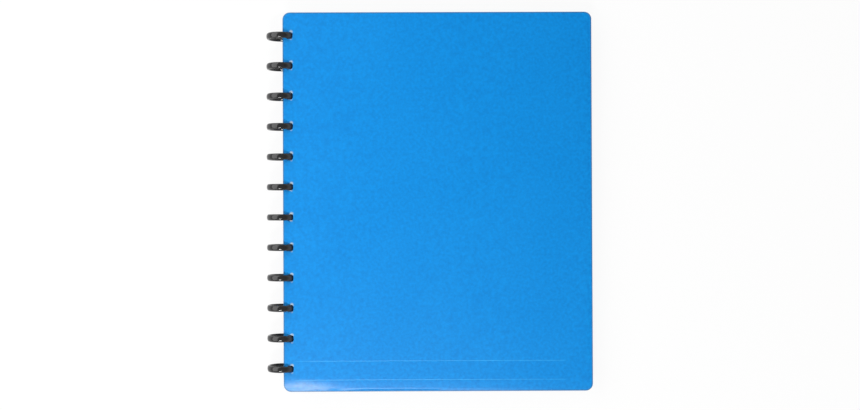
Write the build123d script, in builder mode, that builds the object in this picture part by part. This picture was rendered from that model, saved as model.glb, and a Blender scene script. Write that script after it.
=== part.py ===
from build123d import *
import os
from math import asin, atan2, copysign, cos, hypot, sin, sqrt

# A display book: two plastic covers and a stack of clear pockets, bound by a row of discs.
# Millimetres. X runs from the discs to the fore-edge, Y along the spine to the top of the page, Z up.
# The book lies shut on its back. The discs and the back cover's fore-edge touch Z = 0, and the origin
# is the middle of that footprint. A leaf is a cover or a pocket: a flat sheet at its own height, or
# offset, over the disc axis.

# Covers
cover_width = 259.0  # binding edge to fore-edge
cover_height = 318.0  # along the spine
cover_thickness = 0.8
cover_corner_radius = 6.0

# Pressed lines across the foot of the front cover
line_heights = (9.8, 25.6)  # above the bottom edge
line_start = 10.0  # from the binding edge
line_length = 226.0
line_width = 0.8
line_depth = 0.15

# Discs: a thin web inside a thick rim
disc_count = 12
disc_pitch = 25.4
disc_diameter = 24.0
rim_width = 5.2  # along the spine
rim_depth = 2.8  # from the crown in to the recess
web_thickness = 2.0
recess_flats = 36  # flats round the recess on either side of the web

# Mushroom slots, open to every binding edge: the neck spans the web and the head spans the rim
neck_length = 3.4
neck_clearance = 0.5  # to either face of the web
head_clearance = 0.4  # to the rim, all round

# Pockets: a front film lies on a back film, welded to it along three sides and open at the top
pocket_count = 12
film_thickness = 0.12
binding_strip = 20.0  # slotted margin of the back film, which the front film leaves bare
mouth_step = 3.0  # the front film stops this far short of the back film's top, for a thumb
pocket_end_margin = 6.0  # cover's top and bottom edge to pocket
pocket_fore_margin = 12.0  # narrower than the covers by this much
leaf_clearance = 0.7  # between one leaf and the next

# Heights of the leaves over the disc axis, from the stack's thickness
pocket_thickness = 2 * film_thickness
pocket_pitch = pocket_thickness + leaf_clearance
pocket_width = cover_width - pocket_fore_margin
pocket_height = cover_height - 2 * pocket_end_margin
cover_offset = (pocket_count * pocket_pitch + leaf_clearance + cover_thickness) / 2
pocket_offsets = [pocket_pitch * ((pocket_count - 1) / 2 - n) for n in range(pocket_count)]

# Rim and slot
disc_radius = disc_diameter / 2
rim_inner_radius = disc_radius - rim_depth
neck_width = web_thickness + 2 * neck_clearance
head_width = rim_width + 2 * head_clearance


def rim_crossing(offset, thickness):
    """The nearest and furthest distance from the axis at which a leaf at this offset meets the rim."""
    near = sqrt(rim_inner_radius**2 - (abs(offset) + thickness / 2) ** 2)
    far = sqrt(disc_radius**2 - max(abs(offset) - thickness / 2, 0) ** 2)
    return near, far


# The covers meet the rim most aslant, so they set the length of a head that fits every leaf.
cover_near, cover_far = rim_crossing(cover_offset, cover_thickness)
head_length = cover_far - cover_near + 2 * head_clearance


def binding_edge(offset, thickness):
    """The distance from the axis to a leaf's binding edge, with its slot heads centred on the rim."""
    return sum(rim_crossing(offset, thickness)) / 2 - head_length / 2 - neck_length


# The stack leans about the disc axis until the back cover's fore-edge is as low as the discs.
outer_face = cover_offset + cover_thickness / 2
fore_edge = binding_edge(cover_offset, cover_thickness) + cover_width
lean = asin(disc_radius / hypot(fore_edge, outer_face)) - atan2(outer_face, fore_edge)
book_depth = disc_radius + fore_edge * cos(lean) + outer_face * sin(lean)
axis_x = disc_radius - book_depth / 2
leaf_plane = Plane((axis_x, 0, disc_radius), x_dir=(cos(lean), 0, -sin(lean)), z_dir=(sin(lean), 0, cos(lean)))


# One mushroom slot, with the middle of its mouth at the origin and its head towards the fore-edge
with BuildSketch() as slot:
    Rectangle(neck_length, neck_width, align=(Align.MIN, Align.CENTER))
    with Locations((neck_length, 0)):
        Rectangle(head_length, head_width, align=(Align.MIN, Align.CENTER))


def make_cover(offset, lines_above=()):
    """A cover sheet at this offset, with pressed lines at these heights on its upper face."""
    edge = binding_edge(offset, cover_thickness)
    top = offset + cover_thickness / 2
    with BuildPart() as cover:
        with BuildSketch(leaf_plane.offset(offset - cover_thickness / 2)):
            with Locations((edge + cover_width / 2, 0)):
                RectangleRounded(cover_width, cover_height, cover_corner_radius)
            with Locations((edge, 0)):
                with GridLocations(0, disc_pitch, 1, disc_count):
                    add(slot.sketch, mode=Mode.SUBTRACT)
        extrude(amount=cover_thickness)
        for height in lines_above:
            with BuildSketch(leaf_plane.offset(top)):
                with Locations((edge + line_start + line_length / 2, height - cover_height / 2)):
                    Rectangle(line_length, line_width)
            extrude(amount=-line_depth, mode=Mode.SUBTRACT)
    return cover.part


def make_back_film(offset):
    """The slotted film of the pocket at this offset: the lower of its two films."""
    edge = binding_edge(offset, pocket_thickness)
    with BuildPart() as film:
        with BuildSketch(leaf_plane.offset(offset - film_thickness)):
            with Locations((edge, 0)):
                Rectangle(pocket_width, pocket_height, align=(Align.MIN, Align.CENTER))
                with GridLocations(0, disc_pitch, 1, disc_count):
                    add(slot.sketch, mode=Mode.SUBTRACT)
        extrude(amount=film_thickness)
    return film.part


def make_front_film(offset):
    """The plain film of the pocket at this offset: it lies on the back film beside the binding strip."""
    start = binding_edge(offset, pocket_thickness) + binding_strip
    front_width = pocket_width - binding_strip
    with BuildPart() as film:
        with BuildSketch(leaf_plane.offset(offset)):
            with Locations((start, -pocket_height / 2)):
                Rectangle(front_width, pocket_height - mouth_step, align=(Align.MIN, Align.MIN))
        extrude(amount=film_thickness)
    return film.part


def make_disc(y):
    """A disc at this place along the spine, recessed on both sides so that a web is left inside the rim."""
    middle = Plane((axis_x, y, disc_radius), x_dir=(1, 0, 0), z_dir=(0, 1, 0))
    with BuildPart() as disc:
        with BuildSketch(middle):
            Circle(disc_radius)
        extrude(amount=rim_width / 2, both=True)
        for web_face in (web_thickness / 2, -web_thickness / 2):
            with BuildSketch(middle.offset(web_face)):
                RegularPolygon(rim_inner_radius, recess_flats, major_radius=False)
            extrude(amount=copysign(rim_width, web_face), mode=Mode.SUBTRACT)
    return disc.part


def write(piece, name):
    """Labels a finished piece and writes its file."""
    piece.label = name
    export_step(piece, f"parts/{name}.step")


os.makedirs("parts", exist_ok=True)
write(make_cover(cover_offset, line_heights), "front_cover")
write(make_cover(-cover_offset), "back_cover")
for number, offset in enumerate(pocket_offsets, 1):
    write(make_back_film(offset), f"pocket_{number:02}_back")
    write(make_front_film(offset), f"pocket_{number:02}_front")
for number in range(1, disc_count + 1):
    top_down = (disc_count + 1) / 2 - number
    write(make_disc(disc_pitch * top_down), f"disc_{number:02}")
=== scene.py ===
from math import asin, atan2, cos, hypot, pi, radians, sin, sqrt

import bpy
import numpy as np
from mathutils import Matrix
from mathutils.geometry import delaunay_2d_cdt


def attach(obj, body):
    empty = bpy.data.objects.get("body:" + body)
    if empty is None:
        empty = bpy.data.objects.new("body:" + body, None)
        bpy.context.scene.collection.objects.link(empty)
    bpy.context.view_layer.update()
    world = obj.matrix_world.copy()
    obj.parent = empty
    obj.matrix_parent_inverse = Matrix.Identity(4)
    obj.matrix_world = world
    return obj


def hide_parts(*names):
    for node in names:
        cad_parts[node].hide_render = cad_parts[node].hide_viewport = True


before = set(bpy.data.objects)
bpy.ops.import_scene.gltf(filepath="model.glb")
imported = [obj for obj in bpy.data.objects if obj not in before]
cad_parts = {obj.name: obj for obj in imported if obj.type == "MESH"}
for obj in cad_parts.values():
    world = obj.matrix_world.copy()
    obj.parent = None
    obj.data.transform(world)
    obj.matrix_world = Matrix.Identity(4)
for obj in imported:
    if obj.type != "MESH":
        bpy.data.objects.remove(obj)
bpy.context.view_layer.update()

# A disc-bound display book that lies shut on its back: two covers and a stack of clear pockets, all slotted onto
# a row of discs. A leaf is a cover or a pocket. Shapes are worked out in millimetres, and finishes in metres.
MM = 0.001

# Sizes of the book's solids
cover_width, cover_height, cover_thickness = 259.0, 318.0, 0.8
cover_corner_radius = 6.0
line_heights = (9.8, 25.6)  # of the pressed lines, over the foot of the front cover
line_start, line_length, line_width = 10.0, 226.0, 0.8
disc_count, disc_pitch, disc_radius = 12, 25.4, 12.0
rim_width, rim_depth, web_thickness = 5.2, 2.8, 2.0
neck_length, neck_width = 3.4, 3.0
head_width, head_clearance = 6.0, 0.4
pocket_count, film_thickness, leaf_clearance = 12, 0.12, 0.7
binding_strip, mouth_step = 20.0, 3.0
pocket_end_margin, pocket_fore_margin = 6.0, 12.0

# Sizes that only the visible pieces have
line_depth = 0.05
cover_edge_round = 0.25
foot_reach, head_reach = 12.0, 10.0  # how much of a cover droops, past the pockets
bead_width, bead_height = 0.9, 0.26  # the weld along a pocket's fore-edge and foot
weld_inset, weld_half = 1.5, 1.3  # the dotted weld band: its middle line's distance from the edge, half its width

# Sizes that follow
pocket_thickness = 2 * film_thickness
pocket_pitch = pocket_thickness + leaf_clearance
pocket_width = cover_width - pocket_fore_margin
pocket_height = cover_height - 2 * pocket_end_margin
cover_offset = (pocket_count * pocket_pitch + leaf_clearance + cover_thickness) / 2
pocket_offsets = [pocket_pitch * ((pocket_count - 1) / 2 - n) for n in range(pocket_count)]
disc_heights = disc_pitch * ((disc_count + 1) / 2 - np.arange(1, disc_count + 1))  # along the spine, from the top


def rim_crossing(offset, thickness):
    """Nearest and furthest distance from the disc axis at which a leaf at this offset meets the rim."""
    near = sqrt((disc_radius - rim_depth) ** 2 - (abs(offset) + thickness / 2) ** 2)
    return near, sqrt(disc_radius**2 - max(abs(offset) - thickness / 2, 0) ** 2)


cover_near, cover_far = rim_crossing(cover_offset, cover_thickness)
head_length = cover_far - cover_near + 2 * head_clearance


def binding_edge(offset, thickness):
    """Distance from the disc axis to a leaf's binding edge, with its slot heads centred on the rim."""
    return sum(rim_crossing(offset, thickness)) / 2 - head_length / 2 - neck_length


# The stack leans about the disc axis until the back cover's fore-edge is as low as the discs.
outer_face = cover_offset + cover_thickness / 2
fore_edge = binding_edge(cover_offset, cover_thickness) + cover_width
lean = asin(disc_radius / hypot(fore_edge, outer_face)) - atan2(outer_face, fore_edge)
axis_x = disc_radius - (disc_radius + fore_edge * cos(lean) + outer_face * sin(lean)) / 2


def on_leaf(along, y, height):
    """Points in millimetres: the distance from the disc axis runs down the lean, and the height stands square to
    it."""
    x = axis_x + along * cos(lean) + height * sin(lean)
    return np.stack([x, y + 0 * x, disc_radius - along * sin(lean) + height * cos(lean)], axis=-1)


def smooth(low, high, value):
    """Zero below low, one above high, and a cubic with level ends between them."""
    t = np.clip((value - low) / (high - low), 0, 1)
    return t * t * (3 - 2 * t)


class Value:
    """A shader socket that takes part in arithmetic: each operation adds one Math node beside it."""

    def __init__(self, shading, socket):
        self.shading, self.socket = shading, socket

    def math(self, operation, *numbers):
        return self.shading.node("ShaderNodeMath", {"operation": operation}, dict(enumerate(numbers)))

    def __add__(self, other):
        return self.math("ADD", self, other)

    def __sub__(self, other):
        return self.math("SUBTRACT", self, other)

    def __rsub__(self, other):
        return self.math("SUBTRACT", other, self)

    def __mul__(self, other):
        return self.math("MULTIPLY", self, other)

    def __truediv__(self, other):
        return self.math("DIVIDE", self, other)

    def __abs__(self):
        return self.math("ABSOLUTE", self)

    __radd__, __rmul__ = __add__, __mul__

    def least(self, other):
        return self.math("MINIMUM", self, other)

    def most(self, other):
        return self.math("MAXIMUM", self, other)

    def fraction(self):
        return self.math("FRACT", self)

    def sine(self):
        return self.math("SINE", self)

    def root(self):
        return self.math("SQRT", self)

    def below(self, edge, blur):
        """One where the value is under the edge, falling smoothly to zero over the blur."""
        ends = {"Value": self, "From Min": edge, "From Max": edge + blur, "To Min": 1.0, "To Max": 0.0}
        return self.shading.node("ShaderNodeMapRange", {"interpolation_type": "SMOOTHSTEP"}, ends)


class Shading:
    """A node tree, with one method that adds any node: its type, its settings, then its sockets' values or links,
    and the output to take."""

    def __init__(self, holder):
        self.holder = holder
        holder.use_nodes = True
        holder.node_tree.nodes.clear()

    def node(self, kind, settings=None, sockets=None, out=0):
        made = self.holder.node_tree.nodes.new(kind)
        for name, setting in (settings or {}).items():
            setattr(made, name, setting)
        for name, given in (sockets or {}).items():
            if isinstance(given, Value):
                self.holder.node_tree.links.new(given.socket, made.inputs[name])
            else:
                made.inputs[name].default_value = given
        return Value(self, made.outputs[out]) if len(made.outputs) else None

    def parts(self, vector, *names):
        """Components of a vector."""
        first = self.node("ShaderNodeSeparateXYZ", {}, {"Vector": vector})
        return [Value(self, first.socket.node.outputs[name]) for name in names]

    def rays(self, *names):
        """One for a ray of each of these kinds, and zero for any other."""
        first = self.node("ShaderNodeLightPath")
        return [Value(self, first.socket.node.outputs[f"Is {name} Ray"]) for name in names]

    def place(self):
        return self.node("ShaderNodeTexCoord", out="Object")

    def noise(self, size, detail=2.0):
        """Noise from 0 to 1, with features of this size in metres."""
        return self.node("ShaderNodeTexNoise", {}, {"Vector": self.place(), "Scale": 1 / size, "Detail": detail})

    def on_sheet(self):
        """Place on a leaf in metres: from its binding edge, and along the spine from the middle."""
        return self.parts(self.node("ShaderNodeUVMap", {"uv_map": "leaf"}), "X", "Y")

    def mix(self, share, one, other):
        """A colour between two, by a share from 0 to 1."""
        return self.node("ShaderNodeMix", {"data_type": "RGBA"}, {0: share, 6: one, 7: other}, out=2)

    def bump(self, height, distance, strength):
        return self.node("ShaderNodeBump", {}, {"Height": height, "Distance": distance, "Strength": strength})


def span(one, other):
    """Length of a step that goes this far one way and that far square to it."""
    return (one * one + other * other).root()


def finished(name, build):
    """A material whose surface is the shader that the given function builds."""
    material = bpy.data.materials.new(name)
    shading = Shading(material)
    shading.node("ShaderNodeOutputMaterial", {}, {"Surface": build(shading)})
    return material


deep_blue, bright_blue = (0.0008, 0.213, 0.634, 1), (0.0016, 0.291, 0.772, 1)
# The first and last colours on the next line are painted light: the first is a pale colour for painted highlights at
# the slot heads and the front cover's foot corner, and the last is a dark grey blue for painted shade along the
# covers' outline.
painted_highlight_blue, pressed_blue, edge_shade_blue = (0.66, 0.69, 0.54, 1), (0.09, 0.62, 0.98, 1), (0.036, 0.165, 0.36, 1)
deep_black, dull_black = (0.018, 0.018, 0.019, 1), (0.030, 0.029, 0.029, 1)
cool_clear, pale_clear = (0.90, 0.93, 0.95, 1), (0.96, 0.98, 0.99, 1)
white = (1, 1, 1, 1)


def slot_corner_highlight(across, along):
    """Painted highlight on a cover: a soft pale spot near each far corner of a slot head, where its cut edge catches
    the front lamp, more at the upper one.
    """
    spot_inset = 1.3
    pitch = disc_pitch * MM
    aside = ((along / pitch).fraction() - 0.5) * pitch
    beyond = across - (neck_length + head_length - spot_inset) * MM
    corner = head_width / 2 * MM
    upper = span(beyond, aside - corner).below(0.6 * MM, 1.4 * MM) * 0.6
    lower = span(beyond, aside + corner).below(0.5 * MM, 0.9 * MM) * 0.25
    return upper + lower


def foot_corner_highlight(s, across, along):
    """Painted highlight on the front cover at its foot's bound corner: a streaky pale ellipse that lies along the
    foot, where the front lamp's sheen falls.
    """
    middle, over_foot, flatness = 16.0, 3.0, 0.3
    streaks_across, streaks_along = 90, 330  # in a metre
    right, up = across - middle * MM, along + (cover_height / 2 - over_foot) * MM
    patch = span(right * flatness, up).below(1.0 * MM, 8.5 * MM)
    way = s.node("ShaderNodeCombineXYZ", {}, {"X": across * streaks_across, "Y": along * streaks_along})
    streak = s.node("ShaderNodeTexNoise", {}, {"Vector": way, "Scale": 1.0, "Detail": 3.0})
    return patch * (0.42 * streak - 0.06).most(0.04)


def pressed_line(across, along, height):
    """One on a pressed line at this height over the cover's foot, with soft sides and ends."""
    off = abs(along - (height - cover_height / 2) * MM)
    out = abs(across - (line_start + line_length / 2) * MM)
    return off.below(line_width / 5 * MM, line_width / 4 * MM) * out.below((line_length / 2 - 2) * MM, 4 * MM)


def inside_outline(across, along):
    """Distance in from a cover's outline, as far as its corner radius: that radius, less the length of the step
    past the inner rectangle that the corners turn about."""
    radius, half_width, half_height = cover_corner_radius * MM, cover_width / 2 * MM, cover_height / 2 * MM
    sideways = (abs(across - half_width) - (half_width - radius)).most(0.0)
    endways = (abs(along) - (half_height - radius)).most(0.0)
    return radius - span(sideways, endways)


def grained_cover(lines):
    """Blue polypropylene: a fine sand grain and mottling, paler where it is pressed in lines at these heights.
    Painted highlights make it pale at the far corners of the slot heads and, on the front cover, at the foot's bound
    corner, and painted shade makes it darker and greyer along its outline."""

    def build(s):
        grain, mottle, cloud = s.noise(0.7 * MM, 3.0), s.noise(2.4 * MM), s.noise(50 * MM)
        across, along = s.on_sheet()
        # painted highlight: pale spots at the slot heads, and on the front cover a streaky patch at the foot's bound
        # corner
        highlight_share = slot_corner_highlight(across, along)
        if lines:
            highlight_share = highlight_share + foot_corner_highlight(s, across, along)
        share = 0.375 + (grain - 0.5) * 0.5 + (mottle - 0.5) * 1.9 + cloud * 0.25
        blue = s.mix(share, deep_blue, bright_blue)
        blue = s.mix(highlight_share, blue, painted_highlight_blue)
        for height in lines:
            blue = s.mix(pressed_line(across, along, height) * (0.04 + 0.30 * cloud), blue, pressed_blue)
        # painted shade: darker and greyer within half a millimetre of the outline, where the rounded edge turns away
        # from the light
        blue = s.mix(inside_outline(across, along).below(0.5 * MM, 0.8 * MM) * 0.8, blue, edge_shade_blue)
        sockets = {
            "Base Color": blue,
            "Roughness": 0.29 + 0.09 * grain + 0.05 * cloud,
            "Normal": s.bump(grain * 0.7 + mottle * 0.3, 0.04 * MM, 0.4),
            "IOR": 1.42,
        }
        return s.node("ShaderNodeBsdfPrincipled", {}, sockets)

    return build


def moulded_black(s):
    """Black moulded plastic: glossy, with slight flow marks and a dull bloom in places."""
    flow, fine = s.noise(5 * MM, 3.0), s.noise(0.5 * MM)
    sockets = {
        "Base Color": s.mix(flow, deep_black, dull_black),
        "Roughness": 0.075 + 0.07 * flow,
        "Normal": s.bump(fine * 0.2 + flow * 0.8, 0.01 * MM, 0.12),
        "IOR": 1.46,
    }
    return s.node("ShaderNodeBsdfPrincipled", {}, sockets)


def weld_band(across, along):
    """How much the welds cloud a film: dotted bands along the binding strip, the fore-edge and the foot."""
    dots_way = 5200  # radians in a metre
    strip = abs(across - (binding_strip + weld_inset) * MM)
    fore = abs(across - (pocket_width - weld_inset) * MM)
    foot = abs(along + (pocket_height / 2 - weld_inset) * MM)
    dots = (across * dots_way).sine() * (along * dots_way).sine()
    return strip.least(fore).least(foot).below(weld_half * MM, 0.3 * MM) * (0.10 + 0.08 * dots)


def bead_edge(across, along):
    """One where a cut edge belongs to the welded fore-edge or foot, and zero elsewhere."""
    inset = 0.8
    fore = (pocket_width - inset) * MM - across
    foot = along + (pocket_height / 2 - inset) * MM
    return fore.least(foot).below(0.0, 0.3 * MM)


def film_gloss(s, haze):
    """How much a film shines: a little with its haze, and more at a slant, by the fifth power of how far it is turned
    away."""
    slant = s.node("ShaderNodeLayerWeight", {}, {"Blend": 0.5}, out="Facing")
    return 0.004 + 0.006 * haze + 0.32 * (0.04 + 0.96 * slant * slant * slant * slant * slant)


def clear_film(face):
    """Clear film, mostly see-through. The outer face is faintly hazy and glossy, and both faces have the weld bands.
    Cut edges are pale, most on the welds' beads."""

    def build(s):
        haze = s.noise(25 * MM)
        across, along = s.on_sheet()
        if face == "cut edge":
            share = 0.34 + 0.5 * film_gloss(s, haze) + bead_edge(across, along) * 0.55
        elif face == "outer":
            share = weld_band(across, along) + film_gloss(s, haze)
        else:
            share = weld_band(across, along)
        pale = s.mix(haze, cool_clear, pale_clear)
        sockets = {"Base Color": pale, "Roughness": 0.10 + 0.12 * haze, "Metallic": 0.35}
        film = s.node("ShaderNodeBsdfPrincipled", {}, sockets)
        clear = s.node("ShaderNodeBsdfTransparent", {}, {"Color": white})
        return s.node("ShaderNodeMixShader", {}, {0: share, 1: clear, 2: film})

    return build


def rounded(corners, radii, steps):
    """A closed outline with an arc in each corner: from the point where the arc leaves the side before the corner,
    it turns about its centre by shares of the angle between the two sides."""
    corners, radii = np.asarray(corners, float), np.asarray(radii, float)[:, None]
    before, after = corners - np.roll(corners, 1, 0), np.roll(corners, -1, 0) - corners
    before /= np.linalg.norm(before, axis=1, keepdims=True)
    after /= np.linalg.norm(after, axis=1, keepdims=True)
    cross = before[:, 0] * after[:, 1] - before[:, 1] * after[:, 0]
    turn = np.arctan2(cross, (before * after).sum(1))[:, None]
    left = np.stack([-before[:, 1], before[:, 0]], 1) * np.sign(turn)
    start = corners - before * radii * np.tan(np.abs(turn) / 2)
    centre = start + left * radii
    angle = turn * np.linspace(0, 1, steps)[None, :]
    arm = (start - centre)[:, None, :]
    c, s = np.cos(angle), np.sin(angle)
    arc = np.stack([arm[..., 0] * c - arm[..., 1] * s, arm[..., 0] * s + arm[..., 1] * c], -1)
    return (centre[:, None, :] + arc).reshape(-1, 2)


def leaf_outline(edge, width, height, corner, mouth, head, far_head, steps):
    """A leaf seen from above, anticlockwise: three plain sides, then the binding edge with its mushroom slots. The
    radii are those of the leaf's corners, of a slot's mouth and neck, and of its head's near and far corners."""
    top, end = height / 2, edge + width
    plain = [(edge, -top), (end, -top), (end, top), (edge, top)]
    neck, far = edge + neck_length, edge + neck_length + head_length
    n, h = neck_width / 2, head_width / 2
    slot = [(edge, n), (neck, n), (neck, h), (far, h), (far, -h), (neck, -h), (neck, -n), (edge, -n)]
    slots = (np.array(slot)[None] + np.stack([0 * disc_heights, disc_heights], 1)[:, None]).reshape(-1, 2)
    radii = [corner] * 4 + [mouth, mouth, head, far_head, far_head, head, mouth, mouth] * disc_count
    return rounded(np.concatenate([plain, slots]), radii, steps)


def grid(low, high, step):
    """Points evenly spread over a rectangle, about a step apart."""
    counts = [max(2, round((high[i] - low[i]) / step) + 1) for i in (0, 1)]
    x, y = np.meshgrid(np.linspace(low[0], high[0], counts[0]), np.linspace(low[1], high[1], counts[1]))
    return np.stack([x.ravel(), y.ravel()], 1)


def sheet(outline, inside, section, upper, lower):
    """A thin closed sheet: an edge section carried round the outline, and two faces filled inside its first and
    last ring. The section lists (inset, share), where share runs from 1 on the upper face to 0 on the lower one,
    and upper and lower give the height of each face at any point. Returns leaf points, then the upper, wall and
    lower faces."""
    same_point = 1e-5
    count, rings = len(outline), len(section)
    along = np.roll(outline, -1, 0) - np.roll(outline, 1, 0)
    along /= np.linalg.norm(along, axis=1, keepdims=True)
    inward = np.stack([-along[:, 1], along[:, 0]], 1)
    inset, share = np.array(section).T
    ring = outline[None] + inward[None] * inset[:, None, None]
    flat = np.concatenate([ring.reshape(-1, 2), inside, inside])
    part = np.concatenate([np.repeat(share, count), np.ones(len(inside)), np.zeros(len(inside))])
    height = part * upper(*flat.T) + (1 - part) * lower(*flat.T)
    one = np.arange(count)
    two = np.roll(one, -1)
    first = (np.arange(rings - 1) * count)[:, None]
    wall = np.stack([first + one, first + count + one, first + count + two, first + two], -1).reshape(-1, 4)
    loop = np.stack([one, two], 1).tolist()
    filled = []
    for level, base in ((0, rings * count), (rings - 1, rings * count + len(inside))):
        given = np.concatenate([ring[level], inside])
        points, _, faces, *_ = delaunay_2d_cdt(given.tolist(), loop, [], 1, same_point)
        if len(points) != len(given):
            raise ValueError("the outline meets itself or an inside point")
        faces = np.array(faces)
        a, b, c = (given[faces[:, k]] for k in range(3))
        area = (b[:, 0] - a[:, 0]) * (c[:, 1] - a[:, 1]) - (b[:, 1] - a[:, 1]) * (c[:, 0] - a[:, 0])
        turned = (area < 0) != (level > 0)
        faces[turned] = faces[turned][:, ::-1]
        filled.append(np.where(faces < count, faces + level * count, faces - count + base))
    return np.column_stack([flat, height]), [filled[0], wall, filled[1]]


def add_piece(name, points, faces, body, node, finishes, leaf=None):
    """Puts a piece worked out in millimetres into the scene in metres, smooth, in place of its CAD node. A piece
    with several finishes has one for each group of its faces."""
    mesh = bpy.data.meshes.new(name)
    mesh.from_pydata((points * MM).tolist(), [], sum((group.tolist() for group in faces), []))
    mesh.polygons.foreach_set("use_smooth", np.ones(len(mesh.polygons), bool))
    for finish in finishes:
        mesh.materials.append(finish)
    if len(finishes) > 1:
        counts = [len(group) for group in faces]
        mesh.polygons.foreach_set("material_index", np.repeat(np.arange(len(faces), dtype=np.int32), counts))
    if leaf is not None:
        corner = np.zeros(len(mesh.loops), int)
        mesh.loops.foreach_get("vertex_index", corner)
        mesh.uv_layers.new(name="leaf").data.foreach_set("uv", (leaf * MM)[corner].ravel())
    mesh.update()
    piece = bpy.data.objects.new(name, mesh)
    bpy.context.scene.collection.objects.link(piece)
    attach(piece, body)
    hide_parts(node)


def waves(seed, size):
    """A gentle unevenness of a sheet: the sum of three long sine waves whose phases follow from the seed, in
    millimetres, zero along the binding edge."""
    a, b, c = np.modf(np.array([0.618, 0.445, 0.272]) * (seed + 1))[0] * 2 * pi

    def height(u, y):
        long = np.sin(u / 47 + y / 90 + a)
        middling = 0.7 * np.sin(y / 38 - u / 120 + b)
        short = 0.5 * np.sin(u / 29 - y / 61 + c)
        return size * smooth(12, 70, u) * (long + middling + short) / 2.2

    return height


def pressed(edge):
    """Depth of the two pressed lines of the front cover: a round trough across, fading out at both ends."""
    start, end = edge + line_start, edge + line_start + line_length

    def depth(u, y):
        ends = smooth(start, start + 12, u) * (1 - smooth(end - 6, end, u))
        over_foot = y + cover_height / 2
        troughs = sum(1 - smooth(0, line_width / 2, np.abs(over_foot - height)) for height in line_heights)
        return line_depth * ends * troughs

    return depth


def within(points, edge, margin):
    """The points that lie inside a cover's rounded outline by the margin, and clear of its slots."""
    past_heads, past_discs = 2.5, 5.0
    middle = np.array([edge + cover_width / 2, 0])
    half = np.array([cover_width, cover_height]) / 2 - cover_corner_radius
    beyond = np.maximum(np.abs(points - middle) - half, 0)
    inside = np.hypot(*beyond.T) < cover_corner_radius - margin
    bound = points[:, 0] < edge + neck_length + head_length + past_heads
    slots = bound & (np.abs(points[:, 1]) < disc_heights[0] + past_discs)
    return points[inside & ~slots]


def along_lines(inside, edge):
    """The points inside a cover, with rows of closer ones along the pressed lines in place of those near them."""
    keep_off, columns_in_line = 1.3, 70
    across = np.array([-1.6, -1.25, -1, -0.6, -0.25, 0, 0.25, 0.6, 1, 1.25, 1.6]) * line_width / 2
    rows = (np.array(line_heights)[:, None] - cover_height / 2 + across).ravel()
    columns = np.linspace(edge + line_start + 2.5, edge + line_start + line_length + 1, columns_in_line)
    rows, columns = np.meshgrid(rows, columns)
    clear = np.abs(inside[:, 1:2] + cover_height / 2 - np.array(line_heights)).min(1) > keep_off
    return np.concatenate([inside[clear], np.stack([columns.ravel(), rows.ravel()], 1)])


def add_cover(name, offset, front, finish):
    """A cover: a stiff sheet with softly rounded edges. Past the pockets its foot and head droop towards them by a
    square law, most at the foot's bound corner."""
    plain_step, foot_step, head_step = 5.5, 2.2, 3.2  # between the points that fill it
    face_inset = 0.42  # of the faces' outer rings
    foot_droop, corner_droop, fore_lift, head_droop = 0.52, 1.25, 0.12, 0.25
    wave = waves(31 if front else 57, 0.12)
    droop = -1.0 if front else 0.4  # towards the pockets: down on the front cover, up and less on the back one
    edge = binding_edge(offset, cover_thickness)
    end, top = edge + cover_width, cover_height / 2
    depth = pressed(edge)
    radii = {"corner": cover_corner_radius, "mouth": 0.45, "head": 0.7, "far_head": 2.2}
    outline = leaf_outline(edge, cover_width, cover_height, **radii, steps=7)
    inside = [
        grid((edge + 2, 14 - top), (end - 2, top - 14), plain_step),
        grid((edge + 1.2, 1.2 - top), (end - 1.2, foot_reach - top), foot_step),
        grid((edge + 1.2, top - 11), (end - 1.2, top - 1.2), head_step),
    ]
    inside = within(np.concatenate(inside), edge, 0.9)
    if front:
        inside = along_lines(inside, edge)
    bend = np.linspace(0, pi / 2, 5)
    insets = cover_edge_round * (1 - np.sin(bend))
    shares = cover_edge_round * (1 - np.cos(bend)) / cover_thickness
    upper_half = [(face_inset, 1.0)] + list(zip(insets, 1 - shares))
    lower_half = list(zip(insets[::-1], shares[::-1])) + [(face_inset, 0.0)]

    def middle(u, y):
        corner = 1 - smooth(edge + 8, edge + 70, u)
        low = np.clip((foot_reach - (top + y)) / foot_reach, 0, 1) ** 2
        high = np.clip((head_reach - (top - y)) / head_reach, 0, 1) ** 2
        foot = low * (foot_droop + corner_droop * corner - fore_lift * smooth(edge + 120, edge + 255, u))
        foot = foot * (1 + 0.07 * np.sin(u / 5.3) * corner)
        swing = wave(u, y) if front else np.abs(wave(u, y))
        return offset + swing + droop * (foot + head_droop * high)

    points, faces = sheet(
        outline,
        inside,
        upper_half + lower_half,
        lambda u, y: middle(u, y) + cover_thickness / 2 - (depth(u, y) if front else 0),
        lambda u, y: middle(u, y) - cover_thickness / 2,
    )
    leaf = points[:, :2] - [edge, 0]
    add_piece(f"{name}_sheet", on_leaf(*points.T), faces, name, name, [finish], leaf)


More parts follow.
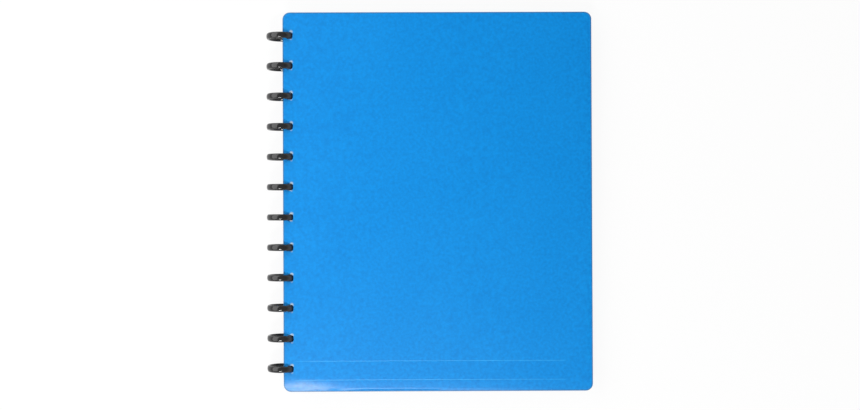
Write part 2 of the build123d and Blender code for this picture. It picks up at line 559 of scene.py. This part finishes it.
def add_pocket(number, offset, finishes):
    """A pocket: a slotted back film, and a front film that lies on it and lifts off a little inside its welds.
    Where the two were cut and sealed together, along the fore-edge and the foot, the front film has a parabolic
    bead."""
    film_step, corner_radius = 9.0, 1.5
    least_gap, most_lift = 0.008, 0.13
    body = f"pocket_{number:02}"
    edge = binding_edge(offset, pocket_thickness)
    end, start, top = edge + pocket_width, edge + binding_strip, pocket_height / 2
    mouth = top - mouth_step
    wave = waves(number, 0.16)
    underside = [(0.0, 0.02), (0.05, 0.0)]

    def lift(u, y):
        away_from_welds = smooth(start + 2, start + 60, u) * (1 - smooth(end - 50, end - 2, u))
        return least_gap + most_lift * away_from_welds * smooth(-top, top, y)

    def bead(u, y):
        off = np.minimum(end - u, y + top) / (bead_width / 2) - 1
        return bead_height * np.clip(1 - off * off, 0, 1)

    radii = {"corner": corner_radius, "mouth": 0.25, "head": 0.25, "far_head": 1.0}
    points, faces = sheet(
        leaf_outline(edge, pocket_width, pocket_height, **radii, steps=3),
        grid((edge + 14, 7 - top), (end - 6, top - 7), film_step),
        [(0.05, 1.0), (0.0, 0.98)] + underside,
        lambda u, y: offset + wave(u, y),
        lambda u, y: offset + wave(u, y) - film_thickness,
    )
    leaf = points[:, :2] - [edge, 0]
    add_piece(f"{body}_back_film", on_leaf(*points.T), faces, body, f"{body}_back", finishes[::-1], leaf)

    insets = bead_width * np.array([1.35, 1.1, 0.95, 0.8, 0.65, 0.5, 0.35, 0.2, 0.08, 0.0])
    points, faces = sheet(
        rounded([(start, -top), (end, -top), (end, mouth), (start, mouth)], [corner_radius] * 4, 6),
        grid((start + 4, 4 - top), (end - 4, mouth - 4), film_step),
        [(inset, 1.0) for inset in insets] + [(0.0, 0.5)] + underside,
        lambda u, y: offset + wave(u, y) + lift(u, y) + film_thickness + bead(u, y),
        lambda u, y: offset + wave(u, y) + lift(u, y),
    )
    leaf = points[:, :2] - [edge, 0]
    add_piece(f"{body}_front_film", on_leaf(*points.T), faces, body, f"{body}_front", finishes, leaf)


def add_disc(number, y, finish):
    """A disc: half the section of web and rounded rim, mirrored, and turned about the disc axis. The rim is a
    superellipse, and the web runs into it on a short quadratic curve."""
    rim_power, rim_start = 2.1, radians(150)  # the angle at which the web's curve meets the rim
    rim_steps, curve_steps, web_steps, turn_steps = 26, 7, 5, 112
    half, inner = web_thickness / 2, disc_radius - rim_depth
    angle = np.linspace(rim_start, 0, rim_steps)
    c, s = np.cos(angle), np.sin(angle)
    reach = rim_depth / 2 * np.sign(c) * np.abs(c) ** (2 / rim_power)
    rim = np.stack([disc_radius - rim_depth / 2 + reach, rim_width / 2 * np.abs(s) ** (2 / rim_power)], 1)
    t = np.linspace(0, 1, curve_steps)[:, None]
    root, corner = np.array([inner - 0.9, half]), np.array([inner + 0.05, half])
    curve = (1 - t) ** 2 * root + 2 * t * (1 - t) * corner + t**2 * rim[0]
    web = np.stack([np.linspace(0, inner - 1.2, web_steps), np.full(web_steps, half)], 1)[1:]
    upper = np.concatenate([web, curve, rim[1:]])
    section = np.concatenate([upper, upper[-2::-1] * [1, -1]])
    turns = np.linspace(0, 2 * pi, turn_steps, endpoint=False)
    radius, beside = section.T[:, :, None]
    x, z = axis_x + radius * np.cos(turns), disc_radius + radius * np.sin(turns)
    walls = np.stack([x, y + beside + 0 * x, z], -1).reshape(-1, 3)
    poles = np.array([[axis_x, y + half, disc_radius], [axis_x, y - half, disc_radius]])
    count, rows = len(turns), len(section)
    one, two = np.arange(count), np.roll(np.arange(count), -1)
    first = (np.arange(rows - 1) * count)[:, None]
    wall = np.stack([first + two, first + count + two, first + count + one, first + one], -1).reshape(-1, 4)
    last, pole = (rows - 1) * count, 0 * one + rows * count
    upper_cap, lower_cap = [one, pole, two], [last + two, pole + 1, last + one]
    faces = [wall, np.stack(upper_cap, 1), np.stack(lower_cap, 1)]
    body = f"disc_{number:02}"
    add_piece(f"{body}_moulded", np.concatenate([walls, poles]), faces, body, body, [finish])


add_cover("front_cover", cover_offset, True, finished("cover_blue_lined", grained_cover(line_heights)))
add_cover("back_cover", -cover_offset, False, finished("cover_blue_plain", grained_cover(())))
film_faces = {"film_outer": "outer", "film_cut_edge": "cut edge", "film_inner": "inner"}
film_finishes = [finished(name, clear_film(face)) for name, face in film_faces.items()]
for number, offset in enumerate(pocket_offsets, 1):
    add_pocket(number, offset, film_finishes)
disc_finish = finished("disc_black_glossy", moulded_black)
for number, y in enumerate(disc_heights, 1):
    add_disc(number, y, disc_finish)


def white_floor(s):
    """White where the camera, a gloss or a film sees it, and still a little shaded by the book near it."""
    shaded_within, fade, shaded = 0.4, 0.8, 0.08
    near = span(*s.parts(s.place(), "X", "Y")).below(shaded_within, fade)
    camera_ray, glossy_ray, clear_ray = s.rays("Camera", "Glossy", "Transmission")
    bright = s.node("ShaderNodeEmission", {}, {"Color": white, "Strength": 1.0})
    lit = s.node("ShaderNodeBsdfDiffuse", {}, {"Color": (0.9, 0.9, 0.9, 1)})
    share = camera_ray.most(glossy_ray).most(clear_ray) * (1 - shaded * near)
    return s.node("ShaderNodeMixShader", {}, {0: share, 1: lit, 2: bright})


def add_floor(reach):
    """A wide pale floor under the book, this far to each side."""
    mesh = bpy.data.meshes.new("floor")
    corners = [(-reach, -reach, 0), (reach, -reach, 0), (reach, reach, 0), (-reach, reach, 0)]
    mesh.from_pydata(corners, [], [(0, 1, 2, 3)])
    mesh.materials.append(finished("floor_white", white_floor))
    floor = bpy.data.objects.new("floor", mesh)
    bpy.context.scene.collection.objects.link(floor)


def add_lamp(name, place, size, level):
    """A soft lamp facing the book, whose power gives this level of light at the book's middle, where 1 shows a
    colour as it is written: level times pi squared times the distance cubed over the height."""
    data = bpy.data.lights.new(name, "AREA")
    far = np.linalg.norm(place)
    data.shape, data.size, data.size_y = "RECTANGLE", *size
    data.energy = level * pi**2 * far**3 / place[2]
    lamp = bpy.data.objects.new(name, data)
    bpy.context.scene.collection.objects.link(lamp)
    away = np.array(place) / far
    side = np.cross((0.0, 1.0, 0.001), away)
    side /= np.linalg.norm(side)
    turn = np.column_stack([side, np.cross(away, side), away])
    lamp.matrix_world = Matrix.Translation(place) @ Matrix(turn.tolist()).to_4x4()


def add_studio():
    """Surroundings that are dim overhead and bright near the horizon, most on the fore-edge side where no lamp
    stands, and white where the camera sees them."""
    overhead, horizon, to_the_right = 0.09, 0.62, 0.30
    world = bpy.data.worlds.new("studio")
    bpy.context.scene.world = world
    s = Shading(world)
    right, up = s.parts(s.node("ShaderNodeTexCoord", out="Generated"), "X", "Z")
    level = overhead + (horizon + to_the_right * right) * up.below(0.25, 0.4)
    light = s.node("ShaderNodeBackground", {}, {"Color": white, "Strength": level})
    seen = s.node("ShaderNodeBackground", {}, {"Color": white, "Strength": 1.0})
    shown = s.node("ShaderNodeMixShader", {}, {0: s.rays("Camera")[0], 1: light, 2: seen})
    s.node("ShaderNodeOutputWorld", {}, {"Surface": shown})


def add_camera(eye, turns, lens_pixels):
    """The camera of the photograph: its place, its turns in degrees about each axis in order, and its focal length
    in pixels."""
    image_width, sensor_width = 860.0, 36.0
    camera = bpy.data.objects.new("camera", bpy.data.cameras.new("camera"))
    bpy.context.scene.collection.objects.link(camera)
    camera.data.sensor_fit, camera.data.sensor_width = "HORIZONTAL", sensor_width
    camera.data.lens = lens_pixels * sensor_width / image_width
    place = Matrix.Translation(eye)
    for axis, degrees in turns.items():
        place = place @ Matrix.Rotation(radians(degrees), 4, axis)
    camera.matrix_world = place
    bpy.context.scene.camera = camera


add_floor(9)
add_studio()
add_lamp("lamp_left", (-0.83, 0.30, 0.70), (0.9, 2.6), 0.98)
add_lamp("lamp_front", (-0.19, -0.77, 1.05), (0.38, 0.16), 0.39)
add_camera((0.011944, -0.006429, 0.924397), {"Z": -0.2338, "X": 0.2240, "Y": 0.7068}, 1083.98)
bpy.context.scene.view_settings.view_transform = "Standard"
bpy.context.scene.cycles.transparent_max_bounces = 96  # for rays through every film of the stack
